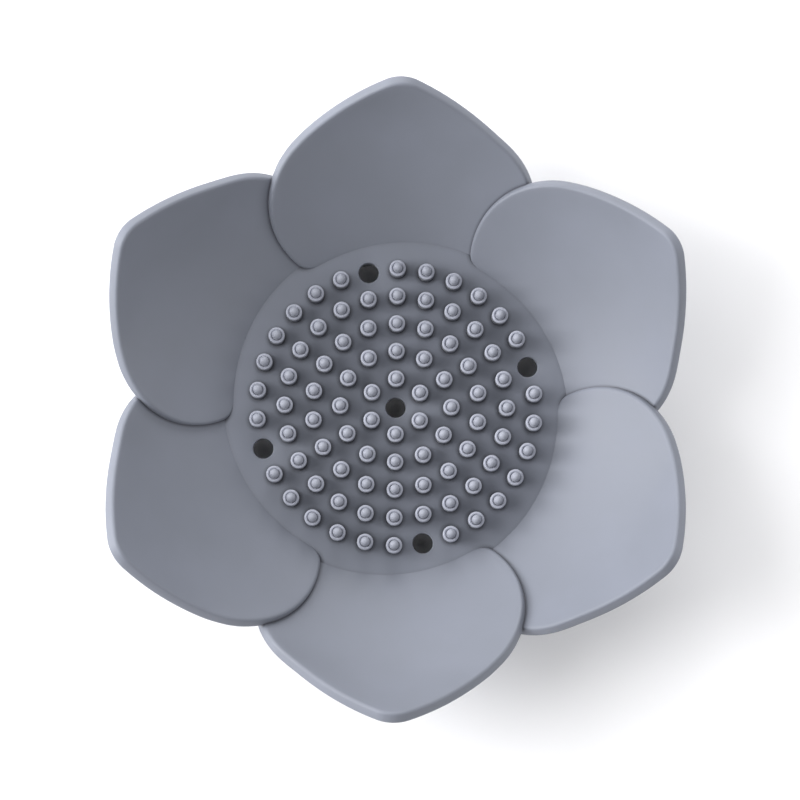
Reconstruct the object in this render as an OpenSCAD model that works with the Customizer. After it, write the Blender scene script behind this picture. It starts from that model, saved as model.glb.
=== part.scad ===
// Lotus soap dish: a round tray of standing pins inside a pinwheel of six overlapping petals.
// The real dish is one soft moulding. It is divided here at its creases and steps.
// +Z is up, +Y runs along a petal tip, and the origin is on the table under the dish's centre.

/* [Overall] */
// Width from one petal tip to the opposite tip
tip_span = 115; // [108:1:125]
// Height of the petal tips above the table
height = 30; // [27:0.5:34]

/* [Tray] */
// Diameter of the tray floor, measured at the crease where the petals start
tray_d = 61.5; // [61.5:0.5:64]
// Thickness of the tray floor
floor_t = 2; // [1.5:0.1:3]
// Diameter of each drain hole
drain_d = 3.7; // [2.5:0.1:3.9]

/* [Petals] */
// Thickness of the petal wall
petal_t = 2.2; // [1.8:0.1:2.8]
// Slope of a petal where it leaves the tray floor, in degrees
crease_slope = 26; // [20:1:32]
// Twist of a petal about its middle line, which lifts one edge over the next petal, in degrees
petal_twist = 1.5; // [1.2:0.1:2.5]
// Radius that rounds a petal's tip
tip_r = 5.5; // [4:0.5:7]
// Radius of the two long sides that meet at the tip
flank_r = 90; // [80:1:100]
// Radius of the round shoulders, from the long sides down to the root
shoulder_r = 17; // [16:0.5:18]

/* [Soap pins] */
// Distance from one ring of pins to the next
ring_pitch = 5.1; // [4.5:0.05:5.1]
// Diameter of a pin's body
pin_d = 3; // [2.4:0.1:3.2]
// Height of a pin's body above the tray floor
pin_h = 3.6; // [3:0.1:4.5]
// Radius that rounds the top edge of a pin's body
pin_edge_r = 0.4; // [0.2:0.1:0.6]
// Diameter of the nub on top of a pin
nub_d = 1.7; // [1.2:0.1:1.9]
// Height of the whole pin, to the top of its nub
nub_h = 5.8; // [5:0.1:7]

/* [Foot] */
// Height of the foot ring, which is also the gap under the tray floor
foot_h = 4; // [3:0.5:6]
// Step in from the edge of the tray floor to the foot ring
foot_step = 0.25; // [0.1:0.05:0.5]
// Thickness of the foot ring
foot_t = 3; // [2:0.5:3]
// Width of each drainage notch in the foot ring
notch_w = 6; // [4:0.5:8]
// Height of each drainage notch
notch_h = 2; // [1:0.5:3]
// Number of drainage notches
notches = 6; // [3:1:8]

/* [Hidden] */

silicone = [0.44, 0.45, 0.49];
petals = 6;
step = 360 / petals;
tray_r = tray_d / 2;
floor_z = foot_h + floor_t;
foot_r = tray_r - foot_step;
fine = 96;
small = 32;

// The wall of a petal is an arc. Its inner face starts at the crease and ends at the inner edge of
// the tip. The petal leans outwards by the slope of the straight line between those two points.
rim_out = petal_t * sin(45);
tip_in = tip_span / 2 - rim_out;
petal_run = tip_in - tray_r;
petal_rise = height - floor_z;
petal_lean = atan2(petal_rise, petal_run);
petal_len = norm([petal_run, petal_rise]);
bowl_r = petal_len / 2 / sin(petal_lean - crease_slope);
bowl_x = tray_r - bowl_r * sin(crease_slope);
bowl_z = floor_z + bowl_r * cos(crease_slope);

// Half of a petal's outline in the petal's own plane, as tangent arcs from the tip to the root.
// Each arc is [radius, sweep]. The heading starts straight across the petal, at 90 degrees.
tip_sweep = 32.5;
flank_sweep = 13.5;
root_heading = 265;
petal_arcs = [
    [tip_r, tip_sweep],
    [flank_r, flank_sweep],
    [shoulder_r, root_heading - 90 - tip_sweep - flank_sweep]
];
arc_step = 4;
root_depth = 12;

// Points of one arc that leaves point p at heading h
function arc_points(p, h, r, sweep) =
    let (n = max(3, ceil(sweep / arc_step)), c = p + r * [cos(h + 90), sin(h + 90)])
    [for (k = [1 : n]) let (a = h - 90 + sweep * k / n) c + r * [cos(a), sin(a)]];

// Points of the chain of arcs, from the i-th one on
function chain_points(p, h, arcs, i = 0) =
    i == len(arcs) ? [] :
    let (pts = arc_points(p, h, arcs[i][0], arcs[i][1]))
    concat(pts, chain_points(pts[len(pts) - 1], h + arcs[i][1], arcs, i + 1));

// Ring and position of every drain hole in the outer ring, counted from the back petal's axis
outer_ring = 5;
drain_places = [1, 9, 16, 24];

// Centre of the i-th place in the n-th ring
function ring_place(n, i) = let (a = 90 + i * step / n) n * ring_pitch * [cos(a), sin(a)];

module petal_outline() {
    half = chain_points([petal_len, 0], 90, petal_arcs);
    mirrored = [for (k = [len(half) - 1 : -1 : 0]) [half[k][0], -half[k][1]]];
    polygon(concat([[petal_len, 0]], half, [[-root_depth, half[len(half) - 1][1]]],
        [[-root_depth, mirrored[0][1]]], mirrored));
}

// The whole wall that the petals are cut from, as one turned bowl
module bowl_wall() {
    rotate_extrude($fn = fine)
        intersection() {
            difference() {
                translate([bowl_x, bowl_z]) circle(r = bowl_r + petal_t, $fn = 4 * fine);
                translate([bowl_x, bowl_z]) circle(r = bowl_r, $fn = 4 * fine);
            }
            translate([tray_r - root_depth, 0]) square([tip_span / 2, height + petal_t]);
        }
}

// One petal along +X before its neighbour is taken out of it, twisted about its middle line
module petal_blank() {
    translate([tray_r, 0, floor_z])
        rotate([petal_twist, -petal_lean, 0])
            intersection() {
                rotate([0, petal_lean, 0])
                    translate([-tray_r, 0, -floor_z])
                        bowl_wall();
                linear_extrude(height = tip_span / 2, center = true)
                    petal_outline();
            }
}

// The petal at a given angle. The next petal clockwise lies over its edge, so that one is cut out.
module petal(angle) {
    color(silicone)
        difference() {
            rotate([0, 0, angle]) petal_blank();
            rotate([0, 0, angle - step]) petal_blank();
            translate([0, 0, -1]) cylinder(r = tray_r, h = height + 2, $fn = fine);
        }
}

module petal_back() { petal(90); }
module petal_back_right() { petal(30); }
module petal_front_right() { petal(-30); }
module petal_front() { petal(-90); }
module petal_front_left() { petal(-150); }
module petal_back_left() { petal(150); }

module tray_floor() {
    color(silicone)
        difference() {
            translate([0, 0, foot_h]) cylinder(r = tray_r, h = floor_t, $fn = fine);
            translate([0, 0, foot_h - 1]) cylinder(d = drain_d, h = floor_t + 2, $fn = small);
            for (i = drain_places)
                translate(concat(ring_place(outer_ring, i), foot_h - 1))
                    cylinder(d = drain_d, h = floor_t + 2, $fn = small);
        }
}

module foot_ring() {
    color(silicone)
        difference() {
            cylinder(r = foot_r, h = foot_h, $fn = fine);
            translate([0, 0, -1]) cylinder(r = foot_r - foot_t, h = foot_h + 2, $fn = fine);
            for (k = [0 : notches - 1])
                rotate([0, 0, k * 360 / notches])
                    translate([foot_r - 2 * foot_t, -notch_w / 2, -1])
                        cube([3 * foot_t, notch_w, notch_h + 1]);
        }
}

// A round body with a rounded top edge, and a narrower nub with a domed end
module pin() {
    r = pin_d / 2;
    nub_r = nub_d / 2;
    rotate_extrude($fn = small) {
        square([r, pin_h - pin_edge_r]);
        square([r - pin_edge_r, pin_h]);
        translate([r - pin_edge_r, pin_h - pin_edge_r]) circle(r = pin_edge_r, $fn = small);
        square([nub_r, nub_h - nub_r]);
        intersection() {
            translate([0, nub_h - nub_r]) circle(r = nub_r, $fn = small);
            square([nub_r, nub_h]);
        }
    }
}

// The n-th ring of pins. In the outer ring the drain holes take four of the places.
module soap_pins(n) {
    places = n < outer_ring ? [] : drain_places;
    color(silicone)
        for (i = [0 : petals * n - 1])
            if (len(search(i, places)) == 0)
                translate(concat(ring_place(n, i), floor_z)) pin();
}

module soap_pins_ring_1() { soap_pins(1); }
module soap_pins_ring_2() { soap_pins(2); }
module soap_pins_ring_3() { soap_pins(3); }
module soap_pins_ring_4() { soap_pins(4); }
module soap_pins_ring_5() { soap_pins(5); }

tray_floor();
foot_ring();
petal_back();
petal_back_right();
petal_front_right();
petal_front();
petal_front_left();
petal_back_left();
soap_pins_ring_1();
soap_pins_ring_2();
soap_pins_ring_3();
soap_pins_ring_4();
soap_pins_ring_5();
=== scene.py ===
"""A round soap dish in grey silicone: a tray of standing pins inside six overlapping petals."""
import math

import bmesh
import bpy
from mathutils import Matrix, Vector


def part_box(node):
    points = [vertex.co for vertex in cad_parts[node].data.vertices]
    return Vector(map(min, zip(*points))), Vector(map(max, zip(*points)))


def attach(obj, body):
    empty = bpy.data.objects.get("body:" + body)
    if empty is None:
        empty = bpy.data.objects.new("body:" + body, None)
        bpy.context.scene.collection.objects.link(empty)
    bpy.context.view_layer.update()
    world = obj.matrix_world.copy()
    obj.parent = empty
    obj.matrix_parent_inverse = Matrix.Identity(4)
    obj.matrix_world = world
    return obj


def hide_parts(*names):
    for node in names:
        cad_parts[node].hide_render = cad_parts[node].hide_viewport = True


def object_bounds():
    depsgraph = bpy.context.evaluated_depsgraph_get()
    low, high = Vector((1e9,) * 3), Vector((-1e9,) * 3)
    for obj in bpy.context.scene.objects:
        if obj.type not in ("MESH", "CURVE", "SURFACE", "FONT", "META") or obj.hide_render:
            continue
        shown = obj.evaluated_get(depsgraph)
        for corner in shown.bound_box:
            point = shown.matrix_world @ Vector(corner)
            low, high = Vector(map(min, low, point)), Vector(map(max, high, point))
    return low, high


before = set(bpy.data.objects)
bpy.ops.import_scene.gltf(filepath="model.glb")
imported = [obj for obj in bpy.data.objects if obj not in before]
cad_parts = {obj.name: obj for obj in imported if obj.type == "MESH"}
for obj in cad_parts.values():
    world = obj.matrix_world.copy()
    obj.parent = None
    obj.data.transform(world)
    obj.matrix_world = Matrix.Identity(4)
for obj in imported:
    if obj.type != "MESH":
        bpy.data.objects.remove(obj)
cad_low, cad_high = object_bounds()
MM = 0.001


# Camera: a long lens almost straight above the dish, standing a little to its front, so that the
# petal tips shift slightly away from the tray they surround.
lens_distance = 600 * MM
lens_length = 152.3
aim_offset = Vector((0.46 * MM, -0.68 * MM, 0))
lean_left = -0.0135
lean_front = -0.0885
roll = math.radians(0.75)
camera_data = bpy.data.cameras.new("camera")
camera_data.lens = lens_length
camera_data.sensor_width = 36
camera_data.clip_start = 0.01
camera = bpy.data.objects.new("camera", camera_data)
bpy.context.collection.objects.link(camera)
aim = Vector((0, 0, cad_high.z)) + aim_offset
back = Vector((lean_left, lean_front, 1)).normalized()
up = Vector((-math.sin(roll), math.cos(roll), 0))
right = up.cross(back).normalized()
up = back.cross(right)
camera.matrix_world = Matrix.Translation(aim + back * lens_distance) @ Matrix(
    (right, up, back)).transposed().to_4x4()
bpy.context.scene.camera = camera


# Petals: six cupped walls of soft grey silicone, each moulded over the edge of the next one round,
# with a rounded rim. Each is drawn flat in its own plane, given its thickness and rim, then curved
# to the bowl. Silicone comes out of a finely textured mould, so its skin is matt.
def linear(hex_colour):
    """An sRGB hex colour as linear red, green, blue and alpha."""
    channels = [int(hex_colour[k:k + 2], 16) / 255 for k in (1, 3, 5)]
    return [c / 12.92 if c <= 0.04045 else ((c + 0.055) / 1.055) ** 2.4 for c in channels] + [1]


def add_node(tree, kind, settings=None, inputs=None, links=None):
    """Adds a node, sets its properties and input values, and links its inputs to other outputs."""
    made = tree.nodes.new(kind)
    for name, value in (settings or {}).items():
        setattr(made, name, value)
    for name, value in (inputs or {}).items():
        made.inputs[name].default_value = value
    for name, source in (links or {}).items():
        tree.links.new(source, made.inputs[name])
    return made


# Matt moulded silicone rubber: a soft skin with a faint cloudiness and a broad, weak sheen, and no
# sharp reflection. Its crevices are darkened with painted shade, and from a pin's lip up it is lightened
# with painted light.
def matt_silicone(name, painted_shade_width, painted_shade_colour, lip_height=None):
    """Matt grey silicone with painted shade in its crevices. Above lip_height, if that is given, its
    tips are lightened with painted light.
    """
    cloud_size = 14 * MM
    texture_size = 0.35 * MM  # a mould's texture is finer, and is drawn this coarse so that it shows
    texture_depth = 0.012 * MM
    nub_above_lip = 0.9 * MM
    open_enough = 0.45
    material = bpy.data.materials.new(name)
    material.use_nodes = True
    tree = material.node_tree
    tree.nodes.clear()
    place = add_node(tree, "ShaderNodeTexCoord").outputs["Object"]
    clouds = add_node(tree, "ShaderNodeTexNoise", inputs={"Scale": 1 / cloud_size, "Detail": 3.0},
                      links={"Vector": place})
    tint = add_node(tree, "ShaderNodeValToRGB", links={"Fac": clouds.outputs["Fac"]})
    tint.color_ramp.elements[0].position = 0.3
    tint.color_ramp.elements[0].color = linear("#6e727c")
    tint.color_ramp.elements[1].position = 0.7
    tint.color_ramp.elements[1].color = linear("#727681")
    colour = tint.outputs["Color"]
    # Painted light: above the lip, the colour is mixed towards lighter colours. These stand for light
    # scattered through the thin silicone of the lips and nubs.
    if lip_height is not None:
        height = add_node(tree, "ShaderNodeSeparateXYZ", links={"Vector": place}).outputs["Z"]
        for top, lit_tip_colour in ((lip_height, "#989ba7"), (lip_height + nub_above_lip, "#898c97")):
            above = add_node(tree, "ShaderNodeMapRange", links={"Value": height},
                             inputs={"From Min": top - 0.8 * MM, "From Max": top - 0.3 * MM})
            paler = add_node(tree, "ShaderNodeMixRGB", inputs={"Color2": linear(lit_tip_colour)},
                             links={"Fac": above.outputs["Result"], "Color1": colour})
            colour = paler.outputs["Color"]
    # Painted shade: where ambient occlusion finds surfaces within the given width, the colour is mixed
    # towards a dark shade colour. This darkens creases, seams and the floor round the feet of the pins.
    open_sky = add_node(tree, "ShaderNodeAmbientOcclusion", settings={"samples": 8},
                        inputs={"Distance": painted_shade_width})
    painted_shade_mask = add_node(tree, "ShaderNodeMapRange",
                       inputs={"From Min": open_enough, "From Max": 1.0, "To Min": 1.0, "To Max": 0.0},
                       links={"Value": open_sky.outputs["AO"]})
    shaded = add_node(tree, "ShaderNodeMixRGB", inputs={"Color2": linear(painted_shade_colour)},
                      links={"Fac": painted_shade_mask.outputs["Result"], "Color1": colour})
    grain = add_node(tree, "ShaderNodeTexNoise", inputs={"Scale": 1 / texture_size, "Detail": 2.0},
                     links={"Vector": place})
    shine = add_node(tree, "ShaderNodeMapRange",
                     inputs={"From Min": 0.3, "From Max": 0.7, "To Min": 0.52, "To Max": 0.6},
                     links={"Value": clouds.outputs["Fac"]})
    bump = add_node(tree, "ShaderNodeBump", inputs={"Strength": 0.5, "Distance": texture_depth},
                    links={"Height": grain.outputs["Fac"]})
    skin = add_node(tree, "ShaderNodeBsdfPrincipled",
                    inputs={"IOR": 1.41, "Sheen Weight": 0.08, "Sheen Roughness": 0.5},
                    links={"Base Color": shaded.outputs["Color"], "Roughness": shine.outputs["Result"],
                           "Normal": bump.outputs["Normal"]})
    add_node(tree, "ShaderNodeOutputMaterial", links={"Surface": skin.outputs["BSDF"]})
    return material


# The petals get a narrow band of mid-dark painted shade in their creases and seams.
silicone = matt_silicone("matt_grey_silicone", 0.6 * MM, "#4a4c55")


def finish_piece(name, mesh, nodes, material=silicone):
    """Makes a piece of silicone from a bmesh and lets it stand for the given nodes."""
    bmesh.ops.remove_doubles(mesh, verts=mesh.verts, dist=0.001 * MM)
    bmesh.ops.recalc_face_normals(mesh, faces=mesh.faces)
    for face in mesh.faces:
        face.smooth = True
    data = bpy.data.meshes.new(name)
    mesh.to_mesh(data)
    mesh.free()
    data.materials.append(material)
    piece = bpy.data.objects.new(name, data)
    bpy.context.collection.objects.link(piece)
    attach(piece, "root")
    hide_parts(*nodes)


floor_low, floor_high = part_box("tray_floor")
crease_radius = floor_high.x
floor_top = floor_high.z
tip_radius = cad_high.y
tip_height = cad_high.z
wall = 2.2 * MM
crease_slope = math.radians(26)
tip_slope = math.radians(45)
tip_round = 5.5 * MM
shoulder_radius = 17 * MM
rim_round = 0.55 * MM
sharp = math.radians(60)
corner_round = 4 * MM
lift = math.tan(math.radians(2.1))
lift_peak = 11 * MM
lift_to_tip = 12 * MM
lift_to_root = 28 * MM

# The two sides of the outline. Sweeps are in degrees, and the root heading is where the shoulder
# ends. The side that lies over the next petal is narrower at the root and has a rounded corner.
under_side = {"tip_sweep": 32.5, "flank_radius": 90 * MM, "flank_sweep": 13.5, "root_heading": 233.5}
over_side = {"tip_sweep": 30.3, "flank_radius": 72 * MM, "flank_sweep": 16.7, "root_heading": 226.7,
             "corner_sweep": 61.3}

run = tip_radius - wall * math.sin(tip_slope) - crease_radius
rise = tip_height - floor_top
lean = math.atan2(rise, run)
length = math.hypot(run, rise)
root = Vector((crease_radius, 0, floor_top))
along = Vector((math.cos(lean), 0, math.sin(lean)))
bowl_radius = length / 2 / math.sin(lean - crease_slope)
bowl_x = crease_radius - bowl_radius * math.sin(crease_slope)
bowl_z = floor_top + bowl_radius * math.cos(crease_slope)


def arc(mesh, start, heading, radius, sweep, steps):
    """Spins a point along an arc that leaves it at a heading, in degrees, and gives its last point."""
    side = math.radians(heading + 90)
    centre = start.co + radius * Vector((math.cos(side), math.sin(side), 0))
    return bmesh.ops.spin(mesh, geom=[start], cent=centre, axis=(0, 0, 1), angle=math.radians(sweep),
                          steps=steps)["geom_last"][0]


def petal_side(mesh, tip_sweep, flank_radius, flank_sweep, root_heading, corner_sweep=0):
    """One side of the outline, from the tip to a plain or a rounded root corner, and its end point."""
    tip = mesh.verts.new((length, 0, 0))
    flank = arc(mesh, tip, 90, tip_round, tip_sweep, 8)
    shoulder = arc(mesh, flank, 90 + tip_sweep, flank_radius, flank_sweep, 14)
    heading = 90 + tip_sweep + flank_sweep
    corner = arc(mesh, shoulder, heading, shoulder_radius, root_heading - heading, 26)
    return arc(mesh, corner, root_heading, corner_round, corner_sweep, 8) if corner_sweep else corner


def flat_petal():
    """The petal before it is curved: a flat plate with its inner face at height 0 and a rounded rim."""
    root_middle = -1.6 * MM
    core = Vector((13 * MM, 0, 0))
    weld = 0.15 * MM
    rim_band = 0.6 * wall
    inner_rings = 14
    mesh = bmesh.new()
    under_end = petal_side(mesh, **under_side)
    bmesh.ops.scale(mesh, verts=mesh.verts[:], vec=(1, -1, 1))
    over_end = petal_side(mesh, **over_side)
    sag = root_middle - under_end.co.x
    root_radius = (sag ** 2 + under_end.co.y ** 2) / (2 * sag)
    root_turn = math.asin(over_end.co.y / root_radius) - math.asin(under_end.co.y / root_radius)
    bmesh.ops.spin(mesh, geom=[under_end], cent=(root_middle - root_radius, 0, 0), axis=(0, 0, 1),
                   angle=root_turn, steps=20)
    bmesh.ops.remove_doubles(mesh, verts=mesh.verts, dist=weld)
    plate = bmesh.ops.contextual_create(mesh, geom=mesh.edges[:])["faces"][0]
    bmesh.ops.inset_region(mesh, faces=[plate], thickness=rim_band, use_boundary=True,
                           use_even_offset=True)
    for ring in range(inner_rings, 0, -1):
        bmesh.ops.inset_region(mesh, faces=[plate], thickness=0)
        shrink = ring / (ring + 1)
        bmesh.ops.scale(mesh, verts=plate.verts[:], vec=(shrink, shrink, 1),
                        space=Matrix.Translation(-core))
    bmesh.ops.poke(mesh, faces=[plate])
    bmesh.ops.recalc_face_normals(mesh, faces=mesh.faces)
    if sum(face.normal.z for face in mesh.faces) < 0:
        bmesh.ops.reverse_faces(mesh, faces=mesh.faces)
    bmesh.ops.solidify(mesh, geom=mesh.faces[:], thickness=wall)
    corners = [edge for edge in mesh.edges if edge.calc_face_angle(0) > sharp]
    bmesh.ops.bevel(mesh, geom=corners, offset=rim_round, segments=4, profile=0.5, affect="EDGES",
                    material=-1)
    return mesh


def on_bowl(point):
    """Carries a point of the flat petal onto the bowl, with one side lifted and the other sunk."""
    outward = Vector((-math.sin(lean), 0, math.cos(lean)))
    spot = root + point.x * along + Vector((0, point.y, 0))
    for _ in range(12):
        radius = math.hypot(spot.x, spot.y)
        reach = Vector((bowl_x - radius, bowl_z - spot.z))
        spot += outward * (reach.length - bowl_radius)
    radius = math.hypot(spot.x, spot.y)
    reach = Vector((bowl_x - radius, bowl_z - spot.z)).normalized()
    past_peak = point.x - lift_peak
    from_peak = min(1, max(past_peak / lift_to_tip, -past_peak / lift_to_root))
    depth = point.z + lift * point.y * math.cos(math.pi / 2 * from_peak)
    return spot + depth * Vector((reach.x * spot.x / radius, reach.x * spot.y / radius, reach.y))


petal_angles = {
    "petal_back": 90, "petal_back_right": 30, "petal_front_right": -30,
    "petal_front": -90, "petal_front_left": -150, "petal_back_left": 150,
}
for node, angle in petal_angles.items():
    petal = flat_petal()
    for corner in petal.verts:
        corner.co = on_bowl(corner.co)
    bmesh.ops.rotate(petal, verts=petal.verts, matrix=Matrix.Rotation(math.radians(angle), 3, "Z"))
    finish_piece("lotus_" + node, petal, [node])


# Tray floor: the round web that carries the pins, moulded in one with the petals. Five drain holes
# go through it, and the mould leaves their edges slightly rounded.
pitch = 5.1 * MM
rings = 5
drain_radius = 1.85 * MM
drain_edge = 0.2 * MM
drain_places = (1, 9, 16, 24)
floor_radius = crease_radius + 1.2 * MM


def ring_place(ring, place):
    """The centre of a place in a ring. Each ring has six places more than the one inside it."""
    angle = math.radians(90 + place * 60 / ring)
    return Vector((ring * pitch * math.cos(angle), ring * pitch * math.sin(angle), floor_top))


tray = bmesh.new()
middle = Vector((0, 0, floor_top))
bmesh.ops.create_circle(tray, segments=192, radius=floor_radius, matrix=Matrix.Translation(middle))
for centre in [middle] + [ring_place(rings, place) for place in drain_places]:
    bmesh.ops.create_circle(tray, segments=40, radius=drain_radius, matrix=Matrix.Translation(centre))
bmesh.ops.triangle_fill(tray, edges=tray.edges[:], use_beauty=True, normal=(0, 0, 1))
bmesh.ops.recalc_face_normals(tray, faces=tray.faces)
if sum(face.normal.z for face in tray.faces) < 0:
    bmesh.ops.reverse_faces(tray, faces=tray.faces)
bmesh.ops.solidify(tray, geom=tray.faces[:], thickness=floor_top - floor_low.z)
lips = [edge for edge in tray.edges if edge.calc_face_angle(0) > sharp]
bmesh.ops.bevel(tray, geom=lips, offset=drain_edge, segments=3, profile=0.5, affect="EDGES",
                material=-1)
# The tray gets a wider, darker band of painted shade round the feet of its pins.
tray_silicone = matt_silicone("matt_silicone_tray", 0.9 * MM, "#2c2d33")
finish_piece("lotus_tray", tray, ["tray_floor"], tray_silicone)


# Soap pins: round pegs that hold the soap clear of the wet tray. Each has a raised, rounded lip, a
# shallow valley inside it, and a narrow domed nub in the middle that bends under the soap.
pin_radius = 1.5 * MM
pin_height = 3.6 * MM
nub_radius = 0.85 * MM
nub_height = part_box("soap_pins_ring_1")[1].z - floor_top
lip_round = 0.28 * MM
lip_turn = math.radians(150)
valley_depth = 0.3 * MM
valley_round = 0.1 * MM


def soap_pin():
    """One pin, turned about its axis, standing at the origin."""
    mesh = bmesh.new()
    base = mesh.verts.new((0, 0, 0))
    foot = mesh.verts.new((pin_radius, 0, 0))
    shoulder = mesh.verts.new((pin_radius, 0, pin_height - lip_round))
    mesh.edges.new((base, foot))
    mesh.edges.new((foot, shoulder))
    lip = bmesh.ops.spin(mesh, geom=[shoulder], cent=(pin_radius - lip_round, 0, pin_height - lip_round),
                         axis=(0, -1, 0), angle=lip_turn, steps=6)["geom_last"][0]
    valley = mesh.verts.new((nub_radius + valley_round, 0, pin_height - valley_depth))
    neck_foot = mesh.verts.new((nub_radius, 0, pin_height - valley_depth + valley_round))
    neck = mesh.verts.new((nub_radius, 0, nub_height - nub_radius))
    for start, end in ((lip, valley), (valley, neck_foot), (neck_foot, neck)):
        mesh.edges.new((start, end))
    bmesh.ops.spin(mesh, geom=[neck], cent=(0, 0, nub_height - nub_radius), axis=(0, -1, 0),
                   angle=math.radians(90), steps=5)
    bmesh.ops.spin(mesh, geom=mesh.edges[:], cent=(0, 0, 0), axis=(0, 0, 1), angle=math.radians(360),
                   steps=24, use_merge=True)
    bmesh.ops.remove_doubles(mesh, verts=mesh.verts, dist=0.001 * MM)
    return mesh


# The pins get a thin band of painted shade at their feet, and painted light on their lips and nubs.
pin_silicone = matt_silicone("matt_silicone_painted_tip_light", 0.12 * MM, "#2c2d33",
                             lip_height=floor_top + pin_height)
pin = soap_pin()
pin_mesh = bpy.data.meshes.new("pin")
pin.to_mesh(pin_mesh)
pin.free()
for ring in range(1, rings + 1):
    pins = bmesh.new()
    for place in range(6 * ring):
        if ring == rings and place in drain_places:
            continue
        before = len(pins.verts)
        pins.from_mesh(pin_mesh)
        pins.verts.ensure_lookup_table()
        bmesh.ops.translate(pins, verts=pins.verts[before:], vec=ring_place(ring, place))
    finish_piece(f"lotus_pins_ring_{ring}", pins, [f"soap_pins_ring_{ring}"], pin_silicone)


# Foot ring: the band under the tray that lifts it off the table. Six gaps between its feet let the
# drained water run out. It is part of the same moulding.
foot_low, foot_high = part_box("foot_ring")
foot_wall = 3 * MM
notch_height = 2 * MM
notch_width = 6 * MM
foot_edge = 0.3 * MM
turns = 144
band = bmesh.new()
section = [band.verts.new((x, 0, z)) for x, z in (
    (foot_high.x - foot_wall, notch_height), (foot_high.x, notch_height),
    (foot_high.x, foot_high.z), (foot_high.x - foot_wall, foot_high.z))]
loop = [band.edges.new((section[k], section[(k + 1) % 4])) for k in range(4)]
bmesh.ops.spin(band, geom=loop, cent=(0, 0, 0), axis=(0, 0, 1), angle=math.radians(360), steps=turns,
               use_merge=True)
bmesh.ops.remove_doubles(band, verts=band.verts, dist=0.001 * MM)
bmesh.ops.recalc_face_normals(band, faces=band.faces)
half_gap = math.degrees(notch_width / 2 / foot_high.x)
feet = []
for face in band.faces:
    centre = face.calc_center_median()
    turn = math.degrees(math.atan2(centre.y, centre.x)) % 60
    if face.normal.z < -0.9 and half_gap < turn < 60 - half_gap:
        feet.append(face)
lowered = bmesh.ops.extrude_face_region(band, geom=feet)["geom"]
bmesh.ops.translate(band, verts=[g for g in lowered if isinstance(g, bmesh.types.BMVert)],
                    vec=(0, 0, -notch_height))
bmesh.ops.delete(band, geom=feet, context="FACES_ONLY")
rims = [edge for edge in band.edges if edge.calc_face_angle(0) > sharp]
bmesh.ops.bevel(band, geom=rims, offset=foot_edge, segments=3, profile=0.5, affect="EDGES",
                material=-1)
finish_piece("lotus_foot", band, ["foot_ring"])


# Table: a plain white surface far wider than the view.
table_size = 3
table = bpy.data.meshes.new("table")
surface = bmesh.new()
bmesh.ops.create_grid(surface, x_segments=1, y_segments=1, size=table_size / 2)
surface.to_mesh(table)
surface.free()
white = bpy.data.materials.new("white_table")
white.use_nodes = True
white.node_tree.nodes["Principled BSDF"].inputs["Base Color"].default_value = linear("#f2f2f4")
white.node_tree.nodes["Principled BSDF"].inputs["Roughness"].default_value = 0.7
table.materials.append(white)
table_top = bpy.data.objects.new("table", table)
bpy.context.collection.objects.link(table_top)


# Light: a soft key on the left at two heights, soft fills round the back, and a pale room with a
# dark patch straight overhead, where a camera and its stand would hang.
light_distance = 0.95


def soft_light(name, azimuth, elevation, size, power):
    """A square area light that faces the dish, placed by its direction in degrees."""
    around = math.radians(azimuth)
    above = math.radians(elevation)
    direction = Vector((math.cos(above) * math.cos(around), math.cos(above) * math.sin(around),
                        math.sin(above)))
    data = bpy.data.lights.new(name, "AREA")
    data.size = size
    data.energy = power
    lamp = bpy.data.objects.new(name, data)
    lamp.location = light_distance * direction
    lamp.rotation_euler = direction.to_track_quat("Z", "Y").to_euler()
    bpy.context.collection.objects.link(lamp)


soft_light("key", azimuth=178, elevation=20, size=0.4, power=8.5)
soft_light("key_above", azimuth=178, elevation=45, size=0.5, power=3.9)
soft_light("left_fill", azimuth=150, elevation=30, size=0.6, power=3.6)
soft_light("back_fill", azimuth=90, elevation=25, size=0.6, power=5.4)
soft_light("right_fill", azimuth=0, elevation=20, size=0.6, power=2.3)
world = bpy.data.worlds.new("room")
world.use_nodes = True
world.node_tree.nodes["Background"].inputs["Color"].default_value = (1, 1, 1, 1)
sky = world.node_tree
direction = add_node(sky, "ShaderNodeTexCoord").outputs["Generated"]
upward = add_node(sky, "ShaderNodeSeparateXYZ", links={"Vector": direction}).outputs["Z"]
overhead = add_node(sky, "ShaderNodeMapRange", links={"Value": upward},
                    inputs={"From Min": 0.93, "From Max": 0.965, "To Min": 0.7, "To Max": 0.07})
sky.links.new(overhead.outputs["Result"], sky.nodes["Background"].inputs["Strength"])
bpy.context.scene.world = world
bpy.context.scene.view_settings.view_transform = "Standard"
